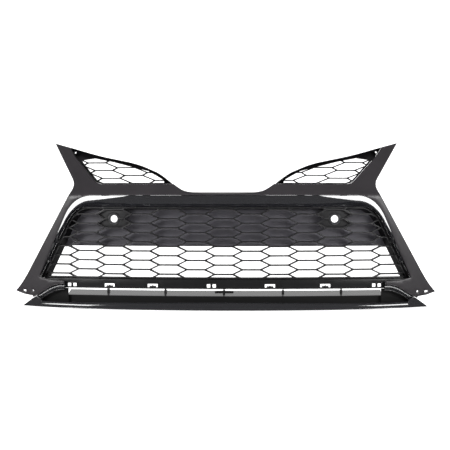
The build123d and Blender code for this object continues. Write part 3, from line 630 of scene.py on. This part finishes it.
# The visible face has a flat facet along its outer edge that widens towards the corner, turns
# steeper round it and runs out part way down the leg; inside it the face falls away to the mesh.
FACET_START_X, CORNER_START_X, FACET_END_Z = 250.0, 352.0, 196.0
PLAIN_TILT, TOP_TILT, LEG_TILT = 40.0, 23.0, 38.7
THIN_FACET, TOP_FACET, CORNER_FACET = 0.04, 0.62, 0.84
CORNER_POINTS = 28
BEZEL_FALL = ((0.04, 0.03), (0.2, 0.15), (0.4, 0.31), (0.6, 0.49), (0.8, 0.7), (0.93, 0.88), (1.0, 1.0))


def facet(front, rear, index, first):
    """Share of the band's width taken by the facet, and its depth as a share of the band's."""
    x, z = front[index]
    turn = (index - first) / CORNER_POINTS
    if turn < 0:
        grown = min(1.0, max(0.0, (x - FACET_START_X) / (CORNER_START_X - FACET_START_X)))
        width = THIN_FACET + (TOP_FACET - THIN_FACET) * grown
        tilt = TOP_TILT if grown > 0 else PLAIN_TILT
    elif turn <= 1:
        width = TOP_FACET + (CORNER_FACET - TOP_FACET) * min(1.0, 2 * turn)
        tilt = TOP_TILT + (LEG_TILT - TOP_TILT) * turn ** 1.7
    else:
        left = min(1.0, max(0.0, (z - FACET_END_Z) / (CREASE_END[1] - FACET_END_Z)))
        width, tilt = THIN_FACET + (CORNER_FACET - THIN_FACET) * left, LEG_TILT
    nx, nz = outward(front, index)
    if index == 0:
        nx, nz = 0.0, 1.0
    across = abs((rear[index][0] - x) * nx + (rear[index][1] - z) * nz)
    return width, min(0.6, width * across * sin(radians(tilt)) / cos(radians(tilt)) / BEZEL_DEPTH)


def bezel_face(front, rear, index, first):
    """Visible face of the bezel: rolled outer edge, facet, then a crowned fall to the mesh."""
    width, back = facet(front, rear, index, first)
    points = [(0.0, 0.03), (0.02, 0.0)]
    points += [(0.02 + (width - 0.02) * t, back * t) for t in (0.08, 0.5, 0.92)]
    points += [(width + (1 - width) * t, back + (1 - back) * fall) for t, fall in BEZEL_FALL]
    return points


def straight_face(_):
    """Flat face."""
    return ((0.0, 0.0), (0.25, 0.25), (0.5, 0.5), (0.75, 0.75), (1.0, 1.0))


BEZEL_TABS = (
    ((195, 278), (215, 278), (215, 324), (195, 324)),
    ((308, 278), (328, 278), (328, 324), (308, 324)),
    ((430, 216), (448, 214), (460, 220), (452, 234), (426, 230)),
    ((472, 126), (490, 124), (506, 130), (498, 142), (468, 138)),
)
TAB_FRONT, TAB_BACK = FRAME_DEPTH + 0.3, FRAME_DEPTH + 2.8


def screw_tab(shell, side, polygon, site, front, back):
    """Round-cornered tab with one screw hole, on one side of the centre line."""
    loop = round_corners([(side * x, z) for x, z in polygon], 3.0)
    shell.plate(loop, [circle(side * site[0], site[1], SCREW_HOLE_R, 20)], front, back, 0.4, spacing=0)


def make_bezel():
    """Gloss band that tapers from the crease to the edge of the mesh, with screw tabs behind."""
    shell = Shell()
    crease, edge = crease_half(), edge_half()
    first = sum(1 for x, z in crease if x < CORNER_START_X - 0.1)
    sections = band_sections(crease, 0.0, edge, BEZEL_DEPTH, 2.2,
                             lambda i: bezel_face(crease, edge, i, first))
    shell.sweep(sections)
    for polygon, site in zip(BEZEL_TABS, BEZEL_SITES):
        for side in SIDES:
            screw_tab(shell, side, polygon, site, TAB_FRONT, TAB_BACK)
    shell.finish("bezel_band", GLOSS, ("opening_bezel",), sharp=50.0)


# ---------------------------------------------------------------- main mesh

COLUMN_PITCH, CELL_HEIGHT = 74.0, 24.7
RIB = 4.0
EVEN_RIB_Z = 143.5
RIB_FRONT, RIB_BACK = 27.0, 47.0
TUB_FRONT, TUB_BACK = 25.8, 60.0
MESH_LOW = 82.0
SENSOR_X, SENSOR_Z = 295.5, 242.0
CELL = ((-24, -12.35), (24, -12.35), (50, 0), (24, 12.35), (-24, 12.35), (-50, 0))
MESH_TABS = (((235, 270), (255, 270), (255, 324), (235, 324)),
             ((446, 177), (470, 174), (478, 182), (470, 195), (444, 186)))
PANEL_SCREW_X = (-330, -110, 110, 330)


def tub_halves():
    """Front and rear outlines of the mesh's side walls, from the top centre to the foot."""
    front = [(366 * i / 30, EDGE_TOP) for i in range(30)]
    front += bezier((366, EDGE_TOP), (398, EDGE_TOP), (416, 252), (429, 225), 24)
    rear = [(350 * i / 30, 267.0) for i in range(30)]
    rear += bezier((350, 267), (380, 267), (396, 249), (408, 225), 24)
    for i in range(19):
        u = i / 18
        z = 225 - u * (225 - MESH_LOW)
        front.append((429 + (225 - z) * 88 / 175, z))
        rear.append((408 + (225 - z) * 85.4 / 175, z))
    return front, rear


def window_at(depth):
    """Closed anticlockwise outline of the mesh's open area at a depth."""
    front, rear = tub_halves()
    share = (depth - TUB_FRONT) / (TUB_BACK - TUB_FRONT)
    half = [(a[0] + share * (b[0] - a[0]), a[1] + share * (b[1] - a[1])) for a, b in zip(front, rear)]
    loop = half + twin(half)[:-1]
    return loop if area(loop) > 0 else loop[::-1]


def cell_centres():
    """Centres of all hexagons, column by column."""
    for column in range(-7, 8):
        lowest = EVEN_RIB_Z - CELL_HEIGHT / 2 - (CELL_HEIGHT / 2 if column % 2 else 0)
        for row in range(-3, 8):
            yield column * COLUMN_PITCH, lowest + row * CELL_HEIGHT


def lattice_holes(centres, cell, window, rib, corner):
    """Rounded openings of the cells, cut to the window."""
    holes = []
    for cx, cz in centres:
        loop = clip([(cx + x, cz + z) for x, z in cell], window)
        if len(loop) < 3 or area(loop) < 30:
            continue
        loop = shrink_convex(tidy(loop), rib / 2)
        if len(loop) < 3 or area(loop) < 12:
            continue
        holes.append(round_corners(tidy(loop), corner))
    return holes


def sensor_pad():
    """Outline of the double cell filled in round a sensor, centred on the right-hand one."""
    h = CELL_HEIGHT
    pad = ((-22, h), (22, h), (46, h / 2), (26, 0), (46, -h / 2),
           (22, -h), (-22, -h), (-46, -h / 2), (-26, 0), (-46, h / 2))
    return [(SENSOR_X + x, SENSOR_Z + z) for x, z in pad]


def make_mesh():
    """Hexagon mesh: ribs with rounded fronts between sloping side walls."""
    shell = Shell()
    middle = (RIB_FRONT + RIB_BACK) / 2
    window = window_at(middle)
    inner = clip(window, rectangle(-520, 520, MESH_LOW + 2.4, 400))
    centres = [(x, z) for x, z in cell_centres()
               if hypot(abs(x) - SENSOR_X, z - SENSOR_Z) > CELL_HEIGHT]
    holes = lattice_holes(centres, CELL, inner, RIB, 2.2)
    for side in SIDES:
        pad = [(side * x, z) for x, z in sensor_pad()]
        holes.append(round_corners(inset(pad, RIB / 2), 1.5))
        for low, high in ((-32, -15), (15, 32)):
            ends = sorted((side * (SENSOR_X + low), side * (SENSOR_X + high)))
            shell.block(rectangle(*ends, SENSOR_Z - RIB / 2, SENSOR_Z + RIB / 2), RIB_FRONT + 0.5, 37, 0.7)
    edge_loop = clip(inset(window, -1.2), rectangle(-520, 520, MESH_LOW, 400))
    shell.plate(tidy(edge_loop, 0.2), holes, RIB_FRONT, RIB_BACK, 1.0, spacing=0, back_edge=0.3,
                hole_draft=0.25)
    front, rear = tub_halves()
    shell.sweep(band_sections(front, TUB_FRONT, rear, TUB_BACK, 1.9, straight_face))
    for side in SIDES:
        pad = [(side * x, z) for x, z in sensor_pad()]
        ring = circle(side * SENSOR_X, SENSOR_Z, 12.9, 40)
        shell.plate(tidy(pad), [ring], 36.0, 39.0, 0.5, spacing=7.0)
        seat = surface(side * SENSOR_X, SENSOR_Z, 36.0)
        shell.tube(seat, BACK, [(-4, 16), (-3.6, 16.4), (6.6, 16.4), (7, 16), (7, 12.9), (-4, 12.9)], 48)
    shell.plate(rectangle(-372, 372, 268, 284), [circle(x, 278, SCREW_HOLE_R, 16) for x in PANEL_SCREW_X],
                TUB_BACK - 2.5, TUB_BACK, 0.4, spacing=20)
    for polygon, (x, z) in zip(MESH_TABS, MESH_SITES):
        for side in SIDES:
            screw_tab(shell, side, polygon, (x, z), TUB_FRONT, TUB_FRONT + 2.5)
            boss(shell, side * x, z, TAB_FRONT, TUB_FRONT + 2.4, 5.4, SCREW_HOLE_R)
    shell.finish("mesh_grille", MESH_BLACK, ("main_mesh",), sharp=40.0)


# ---------------------------------------------------------------- blanking panel

def make_panel():
    """Thin closing sheet behind the upper rows, with turned edges."""
    shell = Shell()
    outline = [(-436, 168.5), (436, 168.5), (406, 246), (392, 267), (366, 281), (-366, 281), (-392, 267),
               (-406, 246)]
    holes = [round_corners(rectangle(x - 18, x + 18, SENSOR_Z - 18, SENSOR_Z + 18), 2.0)
             for x in (-SENSOR_X, SENSOR_X)]
    holes += [circle(x, 278, 2.2, 16) for x in PANEL_SCREW_X]
    shell.plate(divided(outline, 24), holes, TUB_BACK + 0.3, TUB_BACK + 2.3, 0.5, spacing=18.0)
    shell.finish("panel_sheet", PANEL_GREY, ("blanking_panel",))


# ---------------------------------------------------------------- upper meshes

UPPER_CELL = ((-35.1, -10.7), (13.1, -10.7), (48.4, 3.1), (35.1, 10.7), (-13.1, 10.7), (-48.4, -3.1))
UPPER_START, STEP_OUT, STEP_UP = (338.5, 383.0), (61.5, -7.6), (22.0, 21.4)
UPPER_FRONT, UPPER_BACK = 5.0, 24.0
UPPER_TABS = (((162, 316), (182, 316), (182, 338), (162, 338)),
              ((270, 316), (290, 316), (290, 338), (270, 338)),
              ((398, 395), (432, 395), (432, 411), (406, 411)))


def upper_outline():
    """Outer edge of the right upper mesh."""
    loop = line((138, 335.4), (329, 335.4), 8)
    loop += smooth([(329, 335.4), (345.2, 342.5), (379.3, 378.6), (406.3, 407.1), (418.3, 422.6),
                    (429, 437.4)], 4)
    loop += smooth([(429, 437.4), (340, 412.3), (243, 390.8), (195, 372.8), (174, 362.8), (150, 345.8),
                    (138, 336.3)], 5)
    loop += line((138, 336.3), (138, 335.4), 4)
    return loop


def upper_window():
    """Open area of the right upper mesh."""
    loop = line((156, 336.6), (328, 336.6), 8)
    loop += smooth([(328, 336.6), (344, 344.5), (378, 380.5), (397, 402)], 4)
    loop += smooth([(397, 402), (352, 407.5), (300, 396.5), (241, 384), (205, 372), (174, 355),
                    (156, 345)], 5)
    return loop


def make_upper_mesh(side, word):
    """Slanting hexagon mesh with a crowned upper rim and a gusset in its outer corner."""
    shell = Shell()
    window = upper_window()
    centres = []
    for out in range(-5, 4):
        for up in range(-4, 5):
            x = UPPER_START[0] + out * STEP_OUT[0] + up * STEP_UP[0]
            z = UPPER_START[1] + out * STEP_OUT[1] + up * STEP_UP[1]
            centres.append((x, z))
    holes = lattice_holes(centres, UPPER_CELL, window, 3.3, 2.0)
    holes.append(circle(413, 423, 3.0, 16))
    outline = [(side * x, z) for x, z in upper_outline()]
    shell.plate(tidy(outline), [[(side * x, z) for x, z in hole] for hole in holes], UPPER_FRONT, UPPER_BACK,
                1.0, spacing=8.0, back_edge=0.3, hole_draft=0.2)
    for polygon, site in zip(UPPER_TABS, UPPER_SITES):
        screw_tab(shell, side, polygon, site, TAB_FRONT, TAB_BACK)
    shell.finish(f"upper_grille_{word}", MESH_BLACK, (f"upper_mesh_{word}",), sharp=40.0)


# ---------------------------------------------------------------- lower rail

RAIL_LOW, RAIL_HIGH, RAIL_FRONT, RAIL_BACK = 56.0, 81.6, 20.3, 50.0
RAIL_HALF = 492.5
WIDE_SLOTS = (-306.0, -189.0, 123.0, 270.0)
TWIN_SLOTS = (-410.0, -32.0, 408.0)
SLOT_LOW, SLOT_HIGH = 60.0, 69.0


def swept_profile(shell, profile, half, step=14.0):
    """Bar along the grille with a closed (depth, height) profile."""
    count = round(2 * half / step)
    sections = []
    for i in range(count + 1):
        x = -half + 2 * half * i / count
        sections.append([surface(x, z, depth) for depth, z in profile])
    shell.sweep(sections)


def make_rail():
    """Channel-section rail with clip slots, raised frames round them, ribs across the channel and screw holes
    near the ends.
    """
    shell = Shell()
    holes = []
    for x in WIDE_SLOTS:
        holes.append(round_corners([(x - 13.5, SLOT_LOW), (x - 3, SLOT_LOW), (x - 3, SLOT_LOW + 2),
                                    (x + 3, SLOT_LOW + 2), (x + 3, SLOT_LOW), (x + 13.5, SLOT_LOW),
                                    (x + 13.5, SLOT_HIGH), (x - 13.5, SLOT_HIGH)], 1.2, 2))
    for x in TWIN_SLOTS:
        for low, high in ((-12, -3), (3, 12)):
            holes.append(round_corners(rectangle(x + low, x + high, SLOT_LOW, SLOT_HIGH), 1.2, 2))
    holes += [circle(side * 441, 70.8, 2.2, 16) for side in SIDES]
    outer = divided(rectangle(-RAIL_HALF, RAIL_HALF, RAIL_LOW, RAIL_HIGH), 14)
    shell.plate(outer, holes, RAIL_FRONT, RAIL_FRONT + 2.7, 0.9, spacing=0)
    web, back = RAIL_FRONT + 2, RAIL_BACK
    upper = [(web, RAIL_HIGH - 2.4), (web, RAIL_HIGH - 0.5), (back - 0.5, RAIL_HIGH - 0.2),
             (back, RAIL_HIGH - 1), (back - 0.5, RAIL_HIGH - 2.4)]
    lower = [(web, RAIL_LOW + 2.4), (back - 0.5, RAIL_LOW + 2.4), (back, RAIL_LOW + 1.2),
             (back - 0.5, RAIL_LOW + 0.1), (web, RAIL_LOW + 0.5)]
    for profile in (upper, lower):
        swept_profile(shell, profile, RAIL_HALF)
    # raised frames round the slots
    for x in WIDE_SLOTS + TWIN_SLOTS:
        outer = round_corners(rectangle(x - 18, x + 18, SLOT_LOW - 2.6, SLOT_HIGH + 3.4), 1.5, 2)
        inner = round_corners(rectangle(x - 14.6, x + 14.6, SLOT_LOW - 1.0, SLOT_HIGH + 1.2), 1.2, 2)
        shell.plate(outer, [inner], RAIL_FRONT - 0.9, RAIL_FRONT + 0.4, 0.4, spacing=0)
    # ribs across the channel
    for x in range(-475, 476, 25):
        if all(abs(x - slot) > 17 for slot in WIDE_SLOTS + TWIN_SLOTS):
            shell.block(rectangle(x - 1, x + 1, RAIL_LOW + 2, RAIL_HIGH - 2), web, back - 3, 0.3)
    shell.finish("rail_channel", RAIL_BLACK, ("lower_rail",))


# ---------------------------------------------------------------- tray

SHELF_FRONT, SHELF_FRONT_Z, SHELF_BACK, SHELF_BACK_Z, FLOOR_Z = 29.5, 36.8, 85.0, 47.5, 8.0
WEBS = (-315.0, -158.0, 0.0, 158.0, 315.0)
TRAY_HALF = 424.0


def make_tray():
    """Shelf that rises to the back, with upright webs, and a separate front step in near-black, painted shade
    for the recess behind the blade.
    """
    shelf = Shell()
    steps = 6
    top = [(SHELF_FRONT + (SHELF_BACK - SHELF_FRONT) * i / steps,
            SHELF_FRONT_Z + (SHELF_BACK_Z - SHELF_FRONT_Z) * i / steps) for i in range(steps + 1)]
    under = [(depth, height - 2.5) for depth, height in reversed(top)]
    top[0] = (SHELF_FRONT + 0.6, SHELF_FRONT_Z - 0.1)
    profile = [(SHELF_FRONT, SHELF_FRONT_Z - 0.8)] + top + [(SHELF_BACK, SHELF_BACK_Z - 1.2)] + under
    swept_profile(shelf, profile, TRAY_HALF)
    for x in WEBS:
        shelf.block(rectangle(x - 1.4, x + 1.4, 39.5, RAIL_LOW), 50, SHELF_BACK - 1, 0.4)
        shelf.block(rectangle(x - 3.2, x + 3.2, 42.5, RAIL_LOW - 6.5), 62, SHELF_BACK - 3, 0.4)
    shelf.block(rectangle(-25, 25, 42.5, 48), 70, SHELF_BACK - 2, 0.8)
    shelf.finish("tray_shelf", TRAY_BLACK, ("lip_tray",))
    step = Shell()
    swept_profile(step, [(1, FLOOR_Z), (1, FLOOR_Z + 2.5), (SHELF_FRONT - 2, FLOOR_Z + 2.5),
                         (SHELF_FRONT, FLOOR_Z + 4.5), (SHELF_FRONT, SHELF_FRONT_Z - 1.6),
                         (SHELF_FRONT + 2.5, SHELF_FRONT_Z - 2.6), (SHELF_FRONT + 2.5, FLOOR_Z)], TRAY_HALF)
    # The step is near-black: painted shade for the shadowed recess between blade and shelf.
    step.finish("tray_step", PAINTED_SHADE_BLACK)


# ---------------------------------------------------------------- lip

BLADE_TOP = ((0, 21.5), (180, 20.2), (356, 18.6), (430, 19.3), (492, 21.0))
BLADE_LOW = ((0, 0.2), (274, 1.0), (412, 3.1), (492, 5.0), (546.5, 6.6))
WING_TOP = ((517, 28.1), (509, 32.3), (496, 39.7), (473, 54.6), (458, 61.0), (444, 64.2), (428.2, 64.8))
WING_LOW = ((494, 26), (488, 30), (478, 36), (458, 46), (448, 49), (440, 50.2), (428.2, 51))
# closed (depth, share of the height) section of the blade, and (share of the way down, depth) of the wing
BLADE_PROFILE = (
    (8, 0.02), (-6.4, 0.0), (-7.6, 0.02), (-7.9, 0.06), (-7.95, 0.2), (-8.0, 0.4), (-7.6, 0.6),
    (-6.6, 0.76), (-4.9, 0.88), (-3.6, 0.94), (-2.2, 0.985), (-0.8, 1.0), (1.5, 0.99), (3.2, 0.95),
    (3.0, 0.84), (1.0, 0.82), (-2.5, 0.76), (-5.0, 0.6), (-5.4, 0.4), (-5.2, 0.2), (-2.0, 0.14), (8, 0.14),
)
WING_PROFILE = (
    (0.0, 19.6), (0.0, -2.0), (0.05, -3.4), (0.16, -4.0), (0.27, -3.4), (0.33, 0.5), (0.42, 1.2),
    (0.48, -1.0), (0.56, -2.0), (0.66, -1.2), (0.72, 3.0), (0.82, 4.0), (0.88, 2.4), (0.95, 1.6),
    (1.0, 2.6), (1.0, 19.6),
)
BLADE_HALF, BLADE_STEPS, WING_STEPS = 492.0, 62, 26
BLADE_END = ((494, 5.0), (546.3, 6.7), (517, 28.0), (505.5, 34.0), (494, 26), (491, 20.8), (491, 4.9))
LIP_TAB = ((494, 31), (510, 29), (510, 58), (496, 58))
END_PLATE = ((420, 17), (492, 19), (512, 31), (497, 46), (473, 60), (452, 68), (432, 69), (430, 55.5),
             (420, 55.5))


def make_lip():
    """Gloss blade, crowned in section, that sweeps up at each end into a ridged wing."""
    blade = Shell()
    top = smooth(BLADE_TOP, 8) + [BLADE_TOP[-1]]
    low = smooth(BLADE_LOW, 8) + [BLADE_LOW[-1]]
    sections = []
    for i in range(-BLADE_STEPS, BLADE_STEPS + 1):
        x = BLADE_HALF * i / BLADE_STEPS
        foot = at(low, abs(x))
        height = at(top, abs(x)) - foot
        sections.append([surface(x, foot + share * height, depth) for depth, share in BLADE_PROFILE])
    blade.sweep(sections)
    # the pointed end beyond the blade and the wing that rises from it
    upper = smooth(WING_TOP, 5) + [WING_TOP[-1]]
    lower = smooth(WING_LOW, 5) + [WING_LOW[-1]]
    end = tidy(divided(list(BLADE_END), 5))
    for side in SIDES:
        blade.plate([(side * x, z) for x, z in end], [], -7.9, 20.0, 1.4, spacing=7.0, back_edge=0.6)
        rows = []
        for i in range(WING_STEPS + 1):
            a = upper[round(i * (len(upper) - 1) / WING_STEPS)]
            b = lower[round(i * (len(lower) - 1) / WING_STEPS)]
            rows.append([surface(side * (a[0] + (b[0] - a[0]) * share), a[1] + (b[1] - a[1]) * share, depth)
                         for share, depth in WING_PROFILE])
        blade.sweep(rows)
        screw_tab(blade, side, LIP_TAB, (503, 52), TAB_FRONT, TAB_BACK)
    blade.finish("lip_blade", GLOSS, ("lower_lip",), sharp=50.0)
    # Near-black plates inside the lip's ends: painted shade for their shadowed hollows.
    closing = Shell()
    for side in SIDES:
        closing.block([(side * x, z) for x, z in END_PLATE], FRAME_DEPTH + 0.3, 20.0, 0.3)
    closing.finish("lip_end_plates", PAINTED_SHADE_BLACK)


# ---------------------------------------------------------------- sleeves and small hardware

SLEEVE_PROFILE = ((-6, 10.6), (-6, 14.6), (-5.7, 15.2), (-5, 15.5), (-4.1, 15.4), (-4, 12.4),
                  (9.4, 12.4), (10, 11.8), (10, 10.2), (9.5, 9.8), (-5.4, 9.8), (-5.8, 10.1))
RETAINER_PROFILE = ((7.1, 12.9), (7.1, 15.2), (7.5, 15.6), (9.0, 15.6), (9.4, 15.2), (9.4, 12.9))


def make_sleeves():
    """Sensor sleeves with rolled rims, and the spring rings behind them."""
    for side, word in ((1, "right"), (-1, "left")):
        seat = surface(side * SENSOR_X, SENSOR_Z, 36.0)
        sleeve = Shell()
        sleeve.tube(seat, BACK, SLEEVE_PROFILE, 56)
        sleeve.finish(f"sleeve_{word}", SLEEVE, (f"sensor_sleeve_{word}",))
        ring = Shell()
        ring.tube(seat, BACK, RETAINER_PROFILE, 56)
        ring.finish(f"retainer_{word}", NYLON, (f"sensor_retainer_{word}",))


def dress(node, material):
    """Gives a CAD node its finish."""
    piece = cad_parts[node]
    if not piece.data.materials:
        piece.data.materials.append(material)
    for slot in piece.material_slots:
        slot.material = material


def make_hardware():
    """Brackets, clips and screws keep their CAD shapes."""
    for node in ("top_bracket", "side_bracket_left", "side_bracket_right", "corner_clips"):
        dress(node, ZINC)
    dress("slot_clips", NYLON)
    for node in ("bezel_screws", "mesh_screws", "upper_mesh_screws", "rail_screws", "lip_screws",
                 "bracket_screws", "panel_screws", "tray_screws"):
        dress(node, SCREW)


# ---------------------------------------------------------------- studio

def emitter(name, location, target, size, power, gloss_only=False):
    """Soft area light aimed at a point, hidden from the camera."""
    data = bpy.data.lights.new(name, "AREA")
    data.shape = "RECTANGLE"
    data.size, data.size_y = size
    data.energy = power
    lamp = bpy.data.objects.new(name, data)
    lamp.location = location
    lamp.rotation_euler = (Vector(target) - Vector(location)).to_track_quat("-Z", "Y").to_euler()
    lamp.visible_camera = False
    lamp.visible_diffuse = not gloss_only
    bpy.context.collection.objects.link(lamp)
    return lamp


def make_studio():
    """White sweep behind and below, a dim sky, an overhead light and cards for the gloss parts."""
    world = bpy.data.worlds.new("studio")
    world.use_nodes = True
    world.node_tree.nodes["Background"].inputs["Color"].default_value = (1, 1, 1, 1)
    world.node_tree.nodes["Background"].inputs["Strength"].default_value = 0.3
    bpy.context.scene.world = world
    floor_z = CAD_BOX[0][2]
    mesh = bpy.data.meshes.new("studio_floor")
    verts, faces = [], []
    profile = [(-4.0, floor_z), (2.0, floor_z)]
    for i in range(1, 13):
        angle = radians(90 * i / 12)
        profile.append((2.0 + 1.2 * sin(angle), floor_z + 1.2 * (1 - cos(angle))))
    profile.append((3.2, 5.0))
    for y, z in profile:
        verts += [(-6, y, z), (6, y, z)]
    for i in range(len(profile) - 1):
        faces.append((2 * i, 2 * i + 1, 2 * i + 3, 2 * i + 2))
    mesh.from_pydata(verts, [], faces)
    mesh.shade_smooth()
    floor = bpy.data.objects.new("studio_floor", mesh)
    bpy.context.collection.objects.link(floor)
    white = plastic("studio_white", (0.85, 0.85, 0.85), 0.9, mottle=0.004)
    shader = white.node_tree.nodes["Principled BSDF"]
    shader.inputs["Emission Color"].default_value = (1, 1, 1, 1)
    shader.inputs["Emission Strength"].default_value = 0.8
    mesh.materials.append(white)
    floor.visible_glossy = False
    overhead = emitter("overhead", (0, -0.9, 2.6), (0, 0, 0.2), (2.4, 1.0), 36)
    overhead.visible_glossy = False
    emitter("rear_card", (0, 1.7, 0.8), (0, 0, 0.05), (3.0, 0.9), 6, True)
    emitter("low_strip", (0, -1.15, -0.887), (0, -0.08, 0.285), (2.9, 0.45), 75, True)
    for side in SIDES:
        emitter(f"box_{side}", (side * 1.9, -2.0, 1.0), (0, 0, 0.15), (0.6, 1.0), 31)


CAMERA_AZIMUTH, CAMERA_ELEVATION, CAMERA_DISTANCE = radians(2.0), radians(1.0), 3.5
LENS_MM = 105.66


def make_camera():
    """Long lens, nearly level, slightly from the right."""
    target = Vector((0, 25 * MM + FRONT_Y * MM, 226 * MM))
    away = Vector((sin(CAMERA_AZIMUTH) * cos(CAMERA_ELEVATION), -cos(CAMERA_AZIMUTH) * cos(CAMERA_ELEVATION),
                   sin(CAMERA_ELEVATION)))
    data = bpy.data.cameras.new("camera")
    data.lens = LENS_MM
    data.shift_x = 0.0033
    camera = bpy.data.objects.new("camera", data)
    camera.location = target + away * CAMERA_DISTANCE
    camera.rotation_euler = (-away).to_track_quat("-Z", "Y").to_euler()
    bpy.context.collection.objects.link(camera)
    bpy.context.scene.camera = camera
    bpy.context.scene.view_settings.view_transform = "Standard"


make_camera()
make_frame()
make_bezel()
make_mesh()
make_panel()
make_upper_mesh(1, "right")
make_upper_mesh(-1, "left")
make_rail()
make_tray()
make_lip()
make_sleeves()
make_hardware()
make_studio()
